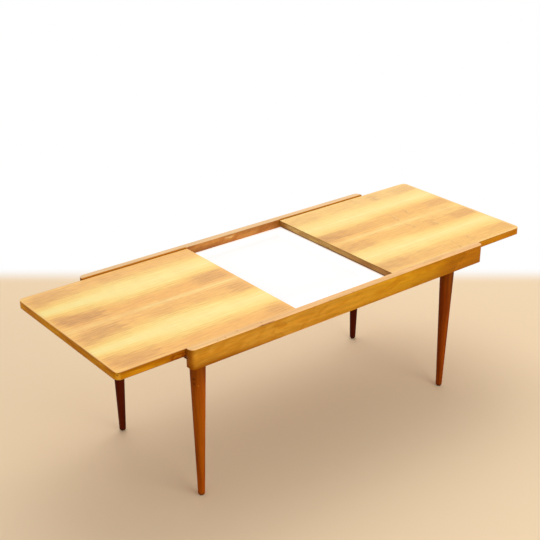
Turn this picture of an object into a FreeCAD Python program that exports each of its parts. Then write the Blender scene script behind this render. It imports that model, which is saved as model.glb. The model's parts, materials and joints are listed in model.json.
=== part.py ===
import FreeCAD, Part
import os

# An extendable coffee table. Two long rails and four turned legs make the frame. A thin board with
# a white face lies in grooves between the rails. Two veneered leaves slide on it, one to each end,
# and meet in the middle when they are pushed in. The model shows them pulled out.
# Lengths are millimetres. The origin is on the floor under the table's middle, +X runs along the
# table, +Y towards its back and +Z up.

Vector = FreeCAD.Vector

# Overall sizes
table_height = 482.0
table_width = 540.0
rail_length = 1030.0
slide_travel = 172.0
overrun = 10.0

# Long rails
rail_height = 54.0
rail_thickness = 22.0
rail_end_radius = 15.0
rail_lower_corner_radius = 5.0
rail_edge_easing = 1.2

# Leaves
leaf_thickness = 20.0
leaf_drop = 3.0
leaf_side_clearance = 2.0
leaf_end_overhang = 19.3
leaf_corner_radius = 16.0
closing_gap = 0.6
face_veneer_thickness = 0.6
edge_band_thickness = 0.8

# Board under the leaves, and the strips that the leaves slide on
laminate_thickness = 0.8
board_thickness = 3.2
board_end_setback = 1.0
groove_depth = 6.0
groove_clearance = 0.2
groove_end_clearance = 0.5
slide_strip_width = 15.0
slide_strip_thickness = 2.8
slide_strip_side_margin = 12.0
slide_strip_end_margin = 8.0
slide_gap = 0.2

# Runners under the board, the slots that they are hung through, and their fasteners
runner_width = 26.0
runner_leg_room = 36.0
runner_outer_setback = 34.0
runner_middle_room = 15.0
runner_end_chamfer = 4.0
runner_top_clearance = 0.4
runner_side_clearance = 1.0
runner_under_clearance = 0.8
slot_cover = 15.0
slot_end_margin = 22.0
slot_side_clearance = 0.3
slot_end_clearance = 0.5
spacer_diameter = 12.0
runner_bolt_diameter = 5.0
runner_bolt_head_diameter = 10.0
runner_bolt_head_height = 2.6
driver_slot_width = 1.2
driver_slot_depth = 1.0
insert_nut_diameter = 8.0
insert_nut_length = 11.0
insert_nut_end_room = 1.0
thread_clearance = 0.1
hole_clearance = 0.1

# Cross rails and middle bearer, with the dowels that join them to the long rails
cross_rail_width = 90.0
cross_rail_web = 7.8
middle_bearer_width = 50.0
dowel_diameter = 8.0
dowel_in_long_rail = 14.0
dowel_in_cross_rail = 18.0
dowel_end_room = 0.5
dowel_edge_distance = 12.0

# Legs, with their plates, bolts, screws and glides
leg_end_inset = 66.0
leg_side_inset = 51.0
leg_top_diameter = 43.5
leg_foot_diameter = 18.5
leg_foot_rounding = 4.0
leg_plate_side = 56.0
leg_plate_thickness = 2.0
leg_plate_corner_radius = 5.0
leg_boss_diameter = 14.0
leg_boss_height = 8.0
leg_bolt_diameter = 8.0
leg_bolt_depth = 38.0
leg_bolt_stand_out = 2.0
leg_bolt_end_room = 2.0
plate_screw_inset = 6.0
plate_screw_diameter = 3.5
plate_screw_head_diameter = 7.0
plate_screw_end_room = 8.0
glide_diameter = 13.0
glide_height = 2.0
glide_rounding = 1.0
glide_nail_diameter = 2.2
glide_nail_length = 12.0
glide_nail_end_room = 1.0

# Places along the table
rail_half_length = rail_length / 2
leaf_length = rail_half_length + leaf_end_overhang - closing_gap / 2
leaf_inner_end = slide_travel + closing_gap / 2
leaf_outer_end = leaf_inner_end + leaf_length
board_half_length = rail_half_length - board_end_setback
leg_x = rail_half_length - leg_end_inset
runner_inner_end = middle_bearer_width / 2 + runner_middle_room + slide_travel
runner_outer_end = leaf_outer_end - runner_outer_setback
slot_inner_end = leaf_inner_end + slot_cover
slot_outer_end = board_half_length - slot_end_margin
slot_reach = spacer_diameter / 2 + slot_end_clearance
runner_bolt_places = (slot_inner_end + slot_reach + slide_travel, slot_outer_end - slot_reach)

# Places across the table
rail_outer_y = table_width / 2
rail_inner_y = rail_outer_y - rail_thickness
leaf_half_width = rail_inner_y - leaf_side_clearance
board_half_width = rail_inner_y + groove_depth - groove_end_clearance
slide_strip_y = rail_inner_y - slide_strip_side_margin - slide_strip_width / 2
leg_y = rail_inner_y - leg_side_inset
runner_y = leg_y - leg_plate_side / 2 - runner_leg_room - runner_width / 2

# Heights
rail_bottom = table_height - rail_height
leaf_top = table_height - leaf_drop
leaf_bottom = leaf_top - leaf_thickness
leaf_core_top = leaf_top - face_veneer_thickness
leaf_core_bottom = leaf_bottom + face_veneer_thickness
slide_strip_top = leaf_bottom - slide_gap
board_face = slide_strip_top - slide_strip_thickness
board_top = board_face - laminate_thickness
board_bottom = board_top - board_thickness
leg_plate_top = rail_bottom + leg_plate_thickness
cross_rail_mid_z = (board_bottom + leg_plate_top) / 2
notch_floor = leg_plate_top + cross_rail_web
runner_bottom = notch_floor + runner_under_clearance
runner_top = board_bottom - runner_top_clearance
runner_bolt_top = leaf_bottom + insert_nut_length - insert_nut_end_room
plate_screw_top = board_bottom - plate_screw_end_room
leg_bolt_top = leg_plate_top + leg_boss_height + leg_bolt_stand_out
leg_length = rail_bottom - glide_height

left, right = -1, 1
front, back = -1, 1
side_names = {left: "left", right: "right"}
row_names = {front: "front", back: "back"}


def block(x_ends, y_ends, z_ends):
    """Box between two places on each axis, given in any order."""
    low = Vector(min(x_ends), min(y_ends), min(z_ends))
    high = Vector(max(x_ends), max(y_ends), max(z_ends))
    return Part.makeBox(high.x - low.x, high.y - low.y, high.z - low.z, low)


def upright_cylinder(x, y, z_low, z_high, radius):
    return Part.makeCylinder(radius, z_high - z_low, Vector(x, y, z_low))


def upright_cone(x, y, z_low, z_high, low_radius, high_radius):
    return Part.makeCone(low_radius, high_radius, z_high - z_low, Vector(x, y, z_low))


def rounded_slab(x_ends, y_ends, z_ends, radii):
    """Slab with upright rounded corners. The radii start at low X, low Y and go anticlockwise."""
    x_low, x_high = min(x_ends), max(x_ends)
    y_low, y_high = min(y_ends), max(y_ends)
    z_low, z_high = min(z_ends), max(z_ends)
    corners = (
        (Vector(x_low, y_low, z_low), Vector(1, 0, 0), Vector(0, 1, 0)),
        (Vector(x_high, y_low, z_low), Vector(0, 1, 0), Vector(-1, 0, 0)),
        (Vector(x_high, y_high, z_low), Vector(-1, 0, 0), Vector(0, -1, 0)),
        (Vector(x_low, y_high, z_low), Vector(0, -1, 0), Vector(1, 0, 0)),
    )
    starts = [corner + inward * radius for (corner, along, inward), radius in zip(corners, radii)]
    ends = [corner + along * radius for (corner, along, inward), radius in zip(corners, radii)]
    loop = []
    for i, (corner, along, inward) in enumerate(corners):
        if radii[i] > 0:
            centre = corner + (along + inward) * radii[i]
            middle = centre - (along + inward).normalize() * radii[i]
            loop.append(Part.Arc(starts[i], middle, ends[i]).toShape())
        following = starts[(i + 1) % len(corners)]
        if not ends[i].isEqual(following, Part.Precision.confusion()):
            loop.append(Part.makeLine(ends[i], following))
    face = Part.Face(Part.Wire(loop))
    return face.extrude(Vector(0, 0, z_high - z_low))


def turned(profile, x, y):
    """Solid turned about the upright axis at x, y from a closed profile of radius and height."""
    face = Part.Face(Part.Wire(profile))
    solid = face.revolve(Vector(0, 0, 0), Vector(0, 0, 1), 360)
    solid.translate(Vector(x, y, 0))
    return solid


def save(name, *pieces):
    shape = pieces[0] if len(pieces) == 1 else Part.makeCompound(list(pieces))
    shape.exportStep(os.path.join("parts", name + ".step"))


def dowel_places():
    """Each dowel's place along the table, with the side that it joins."""
    spread = {leg_x: cross_rail_width / 2, 0.0: middle_bearer_width / 2}
    places = []
    for centre, side in ((leg_x, left), (leg_x, right), (0.0, right)):
        for step in (left, right):
            places.append(side * centre + step * (spread[centre] - dowel_edge_distance))
    return places


def dowel(x, row, end_room, clearance):
    """Dowel across the joint of a long rail, or with room and clearance the hole that it fills."""
    length = dowel_in_cross_rail + dowel_in_long_rail + 2 * end_room
    start = Vector(x, row * (rail_inner_y - dowel_in_cross_rail - end_room), cross_rail_mid_z)
    return Part.makeCylinder(dowel_diameter / 2 + clearance, length, start, Vector(0, row, 0))


def dowel_holes(row):
    return [dowel(x, row, dowel_end_room, hole_clearance) for x in dowel_places()]


def eased(shape, height, size):
    """Shape with every edge that lies at the given height rounded over."""
    edges = []
    for edge in shape.Edges:
        box = edge.BoundBox
        if abs(box.ZMin - height) < size / 10 and abs(box.ZMax - height) < size / 10:
            edges.append(edge)
    return shape.makeFillet(size, edges)


def long_rail(row):
    """Rail along the table, round at its outer ends, with the board's groove inside."""
    end_radius = min(rail_end_radius, rail_thickness - rail_edge_easing)
    low, high = (end_radius, 0) if row == front else (0, end_radius)
    x_ends = (-rail_half_length, rail_half_length)
    rail = rounded_slab(x_ends, (row * rail_inner_y, row * rail_outer_y),
                        (rail_bottom, table_height), (low, low, high, high))
    corner = rail_lower_corner_radius
    side_view = rounded_slab(x_ends, (rail_bottom, table_height), (-rail_outer_y, rail_outer_y),
                             (corner, corner, 0, 0))
    side_view.rotate(Vector(0, 0, 0), Vector(1, 0, 0), 90)
    rail = eased(rail.common(side_view), table_height, rail_edge_easing)
    groove = block((-rail_half_length - overrun, rail_half_length + overrun),
                   (row * (rail_inner_y - overrun), row * (rail_inner_y + groove_depth)),
                   (board_bottom - groove_clearance, board_face + groove_clearance))
    return rail.cut([groove] + dowel_holes(row))


def board_slots():
    """Through slots of both leaves, which the leaves cover in every position."""
    half_width = spacer_diameter / 2 + slot_side_clearance
    slots = []
    for side in (left, right):
        for row in (front, back):
            y_ends = (row * runner_y - half_width, row * runner_y + half_width)
            slots.append(rounded_slab((side * slot_inner_end, side * slot_outer_end), y_ends,
                                      (board_bottom - overrun, board_face + overrun),
                                      (half_width,) * 4))
    return slots


def board_layer(z_low, z_high):
    x_ends = (-board_half_length, board_half_length)
    return block(x_ends, (-board_half_width, board_half_width), (z_low, z_high)).cut(board_slots())


def slide_strips(side):
    """Two strips on the board that carry one leaf, hidden under it in every position."""
    x_ends = (side * (leaf_inner_end + slide_strip_end_margin),
              side * (board_half_length - slide_strip_end_margin))
    strips = []
    for row in (front, back):
        y_ends = (row * slide_strip_y - slide_strip_width / 2,
                  row * slide_strip_y + slide_strip_width / 2)
        strips.append(block(x_ends, y_ends, (board_face, slide_strip_top)))
    return strips


def runner_notches(side):
    half_width = runner_width / 2 + runner_side_clearance
    x_ends = (side * leg_x - cross_rail_width / 2 - overrun,
              side * leg_x + cross_rail_width / 2 + overrun)
    notches = []
    for row in (front, back):
        y_ends = (row * runner_y - half_width, row * runner_y + half_width)
        notches.append(block(x_ends, y_ends, (notch_floor, board_bottom + overrun)))
    return notches


def cross_rail(side):
    """Rail across the table that carries two legs, notched for the runners to pass."""
    x_ends = (side * leg_x - cross_rail_width / 2, side * leg_x + cross_rail_width / 2)
    rail = block(x_ends, (-rail_inner_y, rail_inner_y), (leg_plate_top, board_bottom))
    holes = runner_notches(side) + dowel_holes(front) + dowel_holes(back)
    for row in (front, back):
        holes += leg_fastener_holes(side * leg_x, row * leg_y)
    return rail.cut(holes)


def middle_bearer():
    half_width = middle_bearer_width / 2
    bearer = block((-half_width, half_width), (-rail_inner_y, rail_inner_y),
                   (leg_plate_top, board_bottom))
    return bearer.cut(dowel_holes(front) + dowel_holes(back))


def leaf_layer(side, inner_inset, edge_inset, z_low, z_high):
    """Leaf outline drawn in from its edges, with the two outer corners round."""
    x_ends = (side * (leaf_inner_end + inner_inset), side * (leaf_outer_end - edge_inset))
    half_width = leaf_half_width - edge_inset
    round_corner = max(leaf_corner_radius - edge_inset, 0)
    low, high = (round_corner, 0) if side == left else (0, round_corner)
    return rounded_slab(x_ends, (-half_width, half_width), (z_low, z_high), (low, high, high, low))


def insert_nut_places(side):
    return [(side * x, row * runner_y) for x in runner_bolt_places for row in (front, back)]


def insert_nut_holes(side):
    top = leaf_bottom + insert_nut_length + insert_nut_end_room
    radius = insert_nut_diameter / 2 + hole_clearance
    return [upright_cylinder(x, y, leaf_bottom - overrun, top, radius)
            for x, y in insert_nut_places(side)]


def leaf_core(side):
    core = leaf_layer(side, edge_band_thickness, edge_band_thickness,
                      leaf_core_bottom, leaf_core_top)
    return core.cut(insert_nut_holes(side))


def leaf_edge_band(side):
    """Band round the leaf's front, outer end and back."""
    whole = leaf_layer(side, 0, 0, leaf_core_bottom, leaf_core_top)
    inside = leaf_layer(side, -overrun, edge_band_thickness,
                        leaf_core_bottom - overrun, leaf_core_top + overrun)
    return whole.cut(inside)


def leaf_inner_band(side):
    half_width = leaf_half_width - edge_band_thickness
    x_ends = (side * leaf_inner_end, side * (leaf_inner_end + edge_band_thickness))
    return block(x_ends, (-half_width, half_width), (leaf_core_bottom, leaf_core_top))


def runner_bolt_hole(x, y):
    radius = runner_bolt_diameter / 2 + hole_clearance
    shank = upright_cylinder(x, y, runner_bottom - overrun, runner_top + overrun, radius)
    head = upright_cone(x, y, runner_bottom, runner_bottom + runner_bolt_head_height,
                        runner_bolt_head_diameter / 2 + hole_clearance, radius)
    return [shank, head]


def runner(side, row):
    """Batten under the board that keeps the leaf from tipping, hung from it by two bolts."""
    x_ends = (side * runner_inner_end, side * runner_outer_end)
    y_ends = (row * runner_y - runner_width / 2, row * runner_y + runner_width / 2)
    batten = block(x_ends, y_ends, (runner_bottom, runner_top))
    lower_ends = []
    for edge in batten.Edges:
        box = edge.BoundBox
        if box.YLength > runner_width / 2 and box.ZMax < (runner_bottom + runner_top) / 2:
            lower_ends.append(edge)
    batten = batten.makeChamfer(min(runner_end_chamfer, (runner_top - runner_bottom) / 2), lower_ends)
    holes = []
    for x in runner_bolt_places:
        holes += runner_bolt_hole(side * x, row * runner_y)
    return batten.cut(holes)


def runner_bolt(x, y):
    radius = runner_bolt_diameter / 2
    shank = upright_cylinder(x, y, runner_bottom, runner_bolt_top, radius)
    head = upright_cone(x, y, runner_bottom, runner_bottom + runner_bolt_head_height,
                        runner_bolt_head_diameter / 2, radius)
    half_head = runner_bolt_head_diameter / 2 + overrun
    driver_slot = block((x - half_head, x + half_head),
                        (y - driver_slot_width / 2, y + driver_slot_width / 2),
                        (runner_bottom - overrun, runner_bottom + driver_slot_depth))
    return shank.fuse(head).removeSplitter().cut(driver_slot)


def spacer(x, y):
    bore = upright_cylinder(x, y, runner_top - overrun, leaf_bottom + overrun,
                            runner_bolt_diameter / 2 + hole_clearance)
    return upright_cylinder(x, y, runner_top, leaf_bottom, spacer_diameter / 2).cut(bore)


def insert_nut(x, y):
    bore = upright_cylinder(x, y, leaf_bottom - overrun, leaf_bottom + insert_nut_length + overrun,
                            runner_bolt_diameter / 2 + thread_clearance)
    nut = upright_cylinder(x, y, leaf_bottom, leaf_bottom + insert_nut_length,
                           insert_nut_diameter / 2)
    return nut.cut(bore)


def plate_screw_places(x, y):
    reach = leg_plate_side / 2 - plate_screw_inset
    return [(x + step_x * reach, y + step_y * reach)
            for step_x in (left, right) for step_y in (front, back)]


def plate_screw(x, y, clearance):
    """Countersunk screw, or with a clearance the hole that it fills."""
    radius = plate_screw_diameter / 2 + clearance
    shank = upright_cylinder(x, y, rail_bottom, plate_screw_top + clearance, radius)
    head = upright_cone(x, y, rail_bottom, leg_plate_top,
                        plate_screw_head_diameter / 2 + clearance, radius)
    return shank.fuse(head).removeSplitter()


def leg_fastener_holes(x, y):
    """Holes in a cross rail for one leg plate's boss and screws and for the leg's bolt."""
    boss = upright_cylinder(x, y, rail_bottom, leg_plate_top + leg_boss_height + hole_clearance,
                            leg_boss_diameter / 2 + hole_clearance)
    bolt = upright_cylinder(x, y, rail_bottom, leg_bolt_top + leg_bolt_end_room,
                            leg_bolt_diameter / 2 + hole_clearance)
    return [boss, bolt] + [plate_screw(u, v, hole_clearance) for u, v in plate_screw_places(x, y)]


def leg_plate(x, y):
    """Steel plate with a threaded boss, let into the cross rail above it."""
    half_side = leg_plate_side / 2
    plate = rounded_slab((x - half_side, x + half_side), (y - half_side, y + half_side),
                         (rail_bottom, leg_plate_top), (leg_plate_corner_radius,) * 4)
    boss = upright_cylinder(x, y, leg_plate_top, leg_plate_top + leg_boss_height,
                            leg_boss_diameter / 2)
    thread = upright_cylinder(x, y, rail_bottom - overrun, leg_plate_top + leg_boss_height + overrun,
                              leg_bolt_diameter / 2 + thread_clearance)
    holes = [plate_screw(u, v, hole_clearance) for u, v in plate_screw_places(x, y)]
    return plate.fuse(boss).removeSplitter().cut([thread] + holes)


def leg_bolt(x, y):
    return upright_cylinder(x, y, rail_bottom - leg_bolt_depth, leg_bolt_top,
                            leg_bolt_diameter / 2)


def leg(x, y):
    """Round leg that tapers evenly to a small foot with a rounded edge."""
    foot_radius = leg_foot_diameter / 2
    top_radius = leg_top_diameter / 2
    rounding = min(leg_foot_rounding, foot_radius - glide_diameter / 4)
    bottom = glide_height
    centre = Vector(foot_radius - rounding, 0, bottom + rounding)
    slant = Vector(1, 0, -1).normalize() * rounding
    corners = [Vector(0, 0, bottom), Vector(centre.x, 0, bottom),
               Vector(foot_radius, 0, centre.z), Vector(top_radius, 0, bottom + leg_length),
               Vector(0, 0, bottom + leg_length)]
    profile = [
        Part.makeLine(corners[0], corners[1]),
        Part.Arc(corners[1], centre + slant, corners[2]).toShape(),
        Part.makeLine(corners[2], corners[3]),
        Part.makeLine(corners[3], corners[4]),
        Part.makeLine(corners[4], corners[0]),
    ]
    bolt_hole = upright_cylinder(x, y, rail_bottom - leg_bolt_depth - leg_bolt_end_room,
                                 rail_bottom + overrun, leg_bolt_diameter / 2 + thread_clearance)
    nail_hole = upright_cylinder(x, y, bottom - overrun,
                                 bottom + glide_nail_length + glide_nail_end_room,
                                 glide_nail_diameter / 2 + hole_clearance)
    return turned(profile, x, y).cut([bolt_hole, nail_hole])


def foot_glide(x, y):
    """Round glide with a rounded lower edge and the nail that holds it."""
    radius = glide_diameter / 2
    rounding = min(glide_rounding, glide_height / 2)
    centre = Vector(radius - rounding, 0, rounding)
    slant = Vector(1, 0, -1).normalize() * rounding
    corners = [Vector(0, 0, 0), Vector(centre.x, 0, 0), Vector(radius, 0, rounding),
               Vector(radius, 0, glide_height), Vector(0, 0, glide_height)]
    profile = [
        Part.makeLine(corners[0], corners[1]),
        Part.Arc(corners[1], centre + slant, corners[2]).toShape(),
        Part.makeLine(corners[2], corners[3]),
        Part.makeLine(corners[3], corners[4]),
        Part.makeLine(corners[4], corners[0]),
    ]
    nail = upright_cylinder(x, y, 0, glide_height + glide_nail_length, glide_nail_diameter / 2)
    return turned(profile, x, y).fuse(nail).removeSplitter()


def save_frame():
    for row in (front, back):
        save(row_names[row] + "_rail", long_rail(row))
    for side in (left, right):
        save(side_names[side] + "_cross_rail", cross_rail(side))
        save(side_names[side] + "_slide_strips", *slide_strips(side))
    save("middle_bearer", middle_bearer())
    save("board", board_layer(board_bottom, board_top))
    save("white_laminate", board_layer(board_top, board_face))
    save("rail_dowels", *[dowel(x, row, 0, 0) for row in (front, back) for x in dowel_places()])


def save_legs():
    leg_bolts = []
    plate_screws = []
    for side in (left, right):
        for row in (front, back):
            x, y = side * leg_x, row * leg_y
            name = row_names[row] + "_" + side_names[side]
            save(name + "_leg", leg(x, y))
            save(name + "_leg_plate", leg_plate(x, y))
            save(name + "_foot_glide", foot_glide(x, y))
            leg_bolts.append(leg_bolt(x, y))
            plate_screws += [plate_screw(u, v, 0) for u, v in plate_screw_places(x, y)]
    save("leg_bolts", *leg_bolts)
    save("leg_plate_screws", *plate_screws)


def save_leaf(side):
    name = side_names[side] + "_leaf_"
    save(name + "core", leaf_core(side))
    save(name + "top_veneer", leaf_layer(side, 0, 0, leaf_core_top, leaf_top))
    under = leaf_layer(side, 0, 0, leaf_bottom, leaf_core_bottom)
    save(name + "under_veneer", under.cut(insert_nut_holes(side)))
    save(name + "edge_band", leaf_edge_band(side))
    save(name + "inner_band", leaf_inner_band(side))
    for row in (front, back):
        save(name + row_names[row] + "_runner", runner(side, row))
    places = insert_nut_places(side)
    save(name + "runner_bolts", *[runner_bolt(x, y) for x, y in places])
    save(name + "runner_spacers", *[spacer(x, y) for x, y in places])
    save(name + "insert_nuts", *[insert_nut(x, y) for x, y in places])


os.makedirs("parts", exist_ok=True)
save_frame()
save_legs()
for leaf_side in (left, right):
    save_leaf(leaf_side)
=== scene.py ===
# %% [markdown]
# # An extendable coffee table
# The real table has two veneered leaves that slide apart between long rails, over a white panel, and
# four turned legs. Its exact places and sizes come from a CAD model. This lesson loads that model as
# a fixed frame, models the pieces that the eye rests on again with softer edges, and gives every
# piece a finish. All lengths are in metres.

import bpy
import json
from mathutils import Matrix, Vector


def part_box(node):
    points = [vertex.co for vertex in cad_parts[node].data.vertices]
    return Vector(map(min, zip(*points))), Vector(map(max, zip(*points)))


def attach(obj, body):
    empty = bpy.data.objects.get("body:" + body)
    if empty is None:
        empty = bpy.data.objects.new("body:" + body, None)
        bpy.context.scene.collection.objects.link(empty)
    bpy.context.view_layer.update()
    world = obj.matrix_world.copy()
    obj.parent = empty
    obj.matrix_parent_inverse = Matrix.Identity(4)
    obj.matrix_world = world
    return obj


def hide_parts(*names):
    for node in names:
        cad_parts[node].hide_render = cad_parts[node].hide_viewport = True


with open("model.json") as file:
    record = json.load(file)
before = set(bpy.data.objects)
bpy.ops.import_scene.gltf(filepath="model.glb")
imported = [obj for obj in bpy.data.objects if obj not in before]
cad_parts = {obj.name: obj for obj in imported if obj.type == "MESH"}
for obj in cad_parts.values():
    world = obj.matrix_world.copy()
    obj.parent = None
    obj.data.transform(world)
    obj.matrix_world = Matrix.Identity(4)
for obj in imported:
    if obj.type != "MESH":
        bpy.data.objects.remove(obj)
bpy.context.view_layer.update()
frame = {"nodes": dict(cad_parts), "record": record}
nodes = frame["nodes"]
print("pieces in the frame:", len(nodes))

# %% Modules, and the two sides and rows that much is named after
import json
import math

import bmesh
import bpy
from mathutils import Vector

sides = {"left": -1, "right": 1}
rows = ("front", "back")
print("sides", *sides, "and rows", *rows)

# %% [markdown]
# ## Camera
# The photograph was taken from standing height, to the front left of the table, with a long lens,
# so the table's long edges stay nearly parallel. The lens length and the camera's place belong
# together: a closer camera with a wider lens would spread the near corner. A camera without any
# turn looks straight down, so it is first tipped up and then turned about the upright axis.

# %% Camera
camera_place = (-1.7713, -2.1465, 1.7286)
camera_heading = math.radians(38.53)
camera_dip = math.radians(24.68)
camera_lens = 72.33

bpy.ops.object.camera_add(
    location=camera_place, rotation=(math.pi / 2 - camera_dip, 0, -camera_heading)
)
camera = bpy.context.active_object
camera.name = "camera"
camera.data.lens = camera_lens
bpy.context.scene.camera = camera
bpy.context.scene.view_settings.view_transform = "Standard"
print("lens", camera_lens, "mm, view", round(math.degrees(camera.data.angle), 1), "degrees wide")

# %% [markdown]
# ## Small tools for making finishes
# A finish is a material made of nodes. Each node is one step, such as reading a place on the piece,
# making a cloud of noise or mixing two colours. Written out in full a node takes four or five lines,
# so a few short helpers add a node and join its inputs in one line. A helper puts its node into the
# same tree as the outputs that feed it. Colours are given as they look on a paint chip, from 0 to
# 255, and turned into light values here.

# %% Helpers: colours and nodes
def paint(red, green, blue):
    """The light value of a colour that is given as it looks, from 0 to 255."""
    parts = [channel / 255 for channel in (red, green, blue)]
    return [p / 12.92 if p <= 0.04045 else ((p + 0.055) / 1.055) ** 2.4 for p in parts] + [1.0]


def is_output(value):
    """Whether a value comes out of a node."""
    return isinstance(value, bpy.types.NodeSocket)


def feed(socket, value):
    """Joins an input to another node's output, or sets it to a plain value."""
    if is_output(value):
        socket.id_data.links.new(value, socket)
    else:
        socket.default_value = value


def add_node(kind, inputs=None, tree=None, **settings):
    """Adds a node to the tree given, or else to the tree of the outputs that feed it."""
    inputs = inputs or {}
    if tree is None:
        tree = next(value.id_data for value in inputs.values() if is_output(value))
    made = tree.nodes.new("ShaderNode" + kind)
    for name, value in settings.items():
        setattr(made, name, value)
    for socket, value in inputs.items():
        feed(made.inputs[socket], value)
    return made


print("a mid brown of 150, 100, 50 is", [round(x, 3) for x in paint(150, 100, 50)[:3]], "as light")

# %% Helpers: arithmetic and fades
half_change = 0.1


def calculate(operation, *values):
    """One step of arithmetic between values or outputs."""
    return add_node("Math", dict(enumerate(values)), operation=operation).outputs[0]


def product(*factors):
    """All the factors multiplied together."""
    result = factors[0]
    for factor in factors[1:]:
        result = calculate("MULTIPLY", result, factor)
    return result


def magnitude(value):
    """A value without its sign."""
    return calculate("ABSOLUTE", value)


def opposite(value):
    """What is left of one when a value is taken away."""
    return calculate("SUBTRACT", 1.0, value)


def measure(operation, *vectors):
    """A value read off one or two vectors, such as a distance."""
    return add_node("VectorMath", dict(enumerate(vectors)), operation=operation).outputs["Value"]


def split(vector):
    """A vector's three parts: along the table, across it and up."""
    return add_node("SeparateXYZ", {0: vector}).outputs


def pick(value, at_zero, at_one):
    """Goes evenly from one value or output to another, as the first one goes from 0 to 1."""
    return add_node("MapRange", {"Value": value, "To Min": at_zero, "To Max": at_one}).outputs[0]


def spread(value, low, high, to_low, to_high):
    """Eases a value from one span to another, and holds it at the span's ends."""
    inputs = {"Value": value, "From Min": low, "From Max": high, "To Min": to_low, "To Max": to_high}
    return add_node("MapRange", inputs, interpolation_type="SMOOTHSTEP").outputs[0]


def fade(value, start, end, strength=1.0):
    """Rises from nought at the start to its strength at the end, and stays there."""
    return spread(value, start, end, 0.0, strength)


def between(value, start, end, soft, strength=1.0):
    """Fades in round a start and out again round an end."""
    return product(fade(value, start - soft, start + soft, strength),
                   fade(value, end + soft, end - soft))


def line_at(value, line, width, core, strength):
    """Fades in close to one value, so that a thin line is drawn there."""
    return fade(magnitude(calculate("SUBTRACT", value, line)), width, core, strength)


def on_right(axis, left=0.0, right=1.0):
    """Changes from one value to another at the middle of the table's length."""
    return spread(axis[0], -half_change, half_change, left, right)


def at_back(axis, front=0.0, back=1.0):
    """Changes from one value to another at the middle of the table's width."""
    return spread(axis[1], -half_change, half_change, front, back)


# %% Helpers: mixing, noise and stain samples
def blend(factor, first, second, mode="MIX"):
    """Mixes the second colour over the first by a factor."""
    mix = add_node("Mix", {0: factor, 6: first, 7: second}, data_type="RGBA", blend_type=mode)
    return mix.outputs[2]


def stain(colour, tone):
    """Multiplies a colour by a tone or by a value, as a clear stain does."""
    return blend(1.0, colour, tone, "MULTIPLY")


def touch(place, colour, tone, spots, strength, reach=0.004):
    """Blends a tone into a colour round each of a few points, such as bruises."""
    for spot in spots:
        away = measure("DISTANCE", place, spot)
        colour = blend(fade(away, reach, reach / 4, strength), colour, tone)
    return colour


def tilted(place, angle):
    """The place turned about the table's width, for grain that runs aslant."""
    return add_node("Mapping", {"Vector": place, "Rotation": (0, angle, 0)}).outputs[0]


def cloud(place, stretch, detail=3.0, roughness=0.55, distortion=0.0):
    """Soft noise with so many clouds to the metre along each axis."""
    scaled = add_node("Mapping", {"Vector": place, "Scale": stretch})
    inputs = {"Vector": scaled.outputs[0], "Scale": 1.0, "Detail": detail, "Roughness": roughness,
              "Distortion": distortion}
    return add_node("TexNoise", inputs).outputs["Fac"]


def shade_card(factor, *stops):
    """Colours along a factor from 0 to 1, like a card of stain samples.

    Each stop is its place on the card and the red, green and blue of its colour."""
    ramp = add_node("ValToRGB", {"Fac": factor})
    elements = ramp.color_ramp.elements
    while len(elements) < len(stops):
        elements.new(1.0)
    for element, (position, *colour) in zip(elements, stops):
        element.position = position
        element.color = paint(*colour)
    return ramp.outputs["Color"]


# %% Helpers: a new finish
def new_finish(name):
    """An empty node finish, and the place on the piece in metres."""
    material = bpy.data.materials.new(name)
    material.use_nodes = True
    return material, add_node("TexCoord", tree=material.node_tree).outputs["Object"]


def surface_normal(place):
    """The way the surface faces, in the tree that the place belongs to."""
    return add_node("NewGeometry", tree=place.id_data).outputs["Normal"]


def watched(tree):
    """One for what the camera or a reflection sees, nought for all other light."""
    seen = add_node("LightPath", tree=tree).outputs
    return calculate("MAXIMUM", seen["Is Camera Ray"], seen["Is Glossy Ray"])


def surface(material, colour, roughness, height=None, depth=0.0, shine=0.5, **others):
    """Feeds the shader a colour, a roughness, a bump height, its shine and any other inputs."""
    inputs = material.node_tree.nodes["Principled BSDF"].inputs
    feed(inputs["Base Color"], colour)
    feed(inputs["Roughness"], roughness)
    feed(inputs["Specular IOR Level"], shine)
    if height is not None:
        bump = add_node("Bump", {"Height": height, "Distance": depth})
        feed(inputs["Normal"], bump.outputs[0])
    for name, value in others.items():
        feed(inputs[name.replace("_", " ")], value)


def dress(piece, material):
    """Gives a piece one finish all over."""
    piece.data.materials.clear()
    piece.data.materials.append(material)


# %% [markdown]
# ## Floor, background and light
# The photograph is bright and even, lit by something large and soft. Here the floor is one wide pale
# sheet that fades to white away from the table, and soonest beyond its far side, so that the table
# stands free. An upright backdrop would be in the way when the table is looked at from behind, so
# the world itself is white where the camera or a reflection sees it, and soft light everywhere else.

# %% Floor
floor_radius = 14.0
floor_tone = paint(244, 217, 180)
fade_round_table = (1.4, 2.1)
fade_beyond_table = (0.86, 1.00)

bpy.ops.mesh.primitive_circle_add(vertices=96, radius=floor_radius, fill_type="NGON")
floor = bpy.context.active_object
floor.name = "floor"

material, place = new_finish("pale floor")
surface(material, floor_tone, 0.75, shine=0.2)
view_direction = (math.sin(camera_heading), math.cos(camera_heading), 0)
whitened = calculate("MAXIMUM", fade(measure("LENGTH", place), *fade_round_table),
                     fade(measure("DOT_PRODUCT", place, view_direction), *fade_beyond_table))
whitened = product(whitened, watched(material.node_tree))
painted = material.node_tree.nodes["Principled BSDF"].outputs[0]
white = add_node("Emission", tree=material.node_tree).outputs[0]
faded = add_node("MixShader", {0: whitened, 1: painted, 2: white}).outputs[0]
feed(material.node_tree.nodes["Material Output"].inputs["Surface"], faded)
dress(floor, material)
print("floor", 2 * floor_radius, "m across")

# %% World
soft_light = 0.60

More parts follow.
